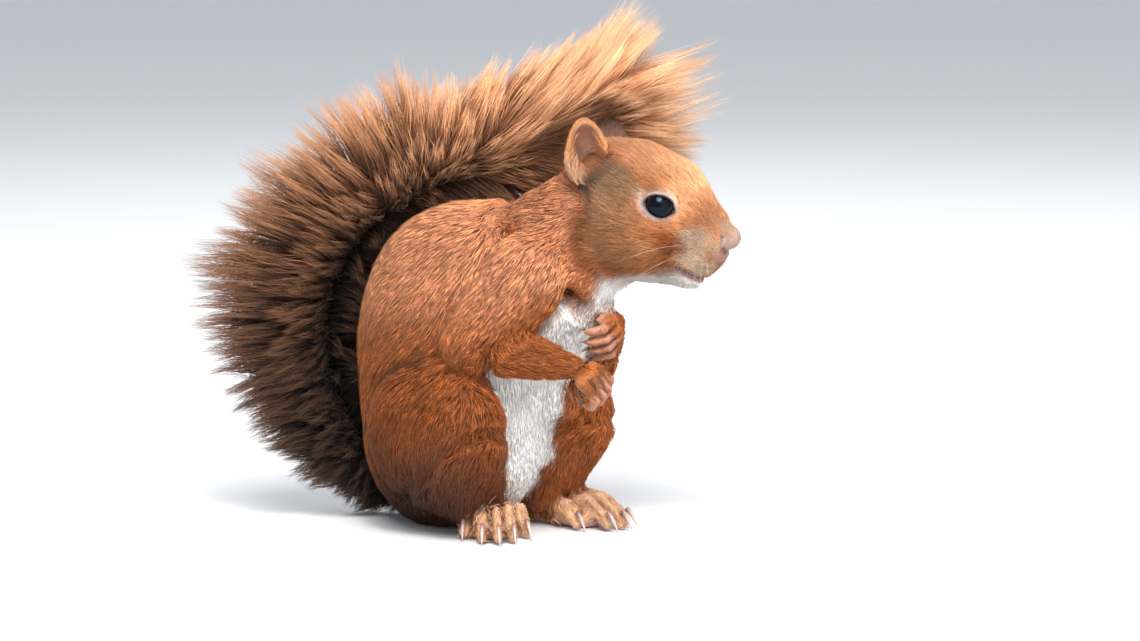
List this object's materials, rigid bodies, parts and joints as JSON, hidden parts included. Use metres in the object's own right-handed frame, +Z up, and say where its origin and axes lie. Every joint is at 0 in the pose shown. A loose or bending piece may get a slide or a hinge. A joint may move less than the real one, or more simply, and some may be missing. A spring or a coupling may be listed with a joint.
{
  "type": "red squirrel",
  "caption": "Life-size red squirrel sitting hunched with a forepaw at its chest and its bushy tail laid up its back and over its head.",
  "frame": {"origin": "on the floor, under the middle of the whole model's box", "axes": "+X the way the body faces and the head looks, +Y to the animal's left, +Z up"},
  "size_m": [0.1632, 0.0884, 0.1585],
  "materials": {
    "fur": "soft short fur, russet above and white below",
    "tail_fur": "long loose hair, dark at the root and ginger at the tip",
    "bare_skin": "bare pink-brown skin",
    "claw": "pale horn",
    "eye": "wet black"
  },
  "bodies": {
    "root": {"ear_left": "fur", "ear_right": "fur", "eye_left": "eye", "eye_right": "eye", "finger_claw_left_1": "claw", "finger_claw_left_2": "claw", "finger_claw_left_3": "claw", "finger_claw_left_4": "claw", "finger_claw_right_1": "claw", "finger_claw_right_2": "claw", "finger_claw_right_3": "claw", "finger_claw_right_4": "claw", "foot_left": "fur", "foot_right": "fur", "forearm_left": "fur", "forearm_right": "fur", "hand_left": "fur", "hand_right": "fur", "head": "fur", "neck": "fur", "nose": "bare_skin", "shank_left": "fur", "shank_right": "fur", "tail_1": "tail_fur", "tail_2": "tail_fur", "tail_3": "tail_fur", "tail_4": "tail_fur", "tail_5": "tail_fur", "thigh_left": "fur", "thigh_right": "fur", "toe_claw_left_1": "claw", "toe_claw_left_2": "claw", "toe_claw_left_3": "claw", "toe_claw_left_4": "claw", "toe_claw_left_5": "claw", "toe_claw_right_1": "claw", "toe_claw_right_2": "claw", "toe_claw_right_3": "claw", "toe_claw_right_4": "claw", "toe_claw_right_5": "claw", "trunk": "fur", "upper_arm_left": "fur", "upper_arm_right": "fur"}
  },
  "joints": []
}
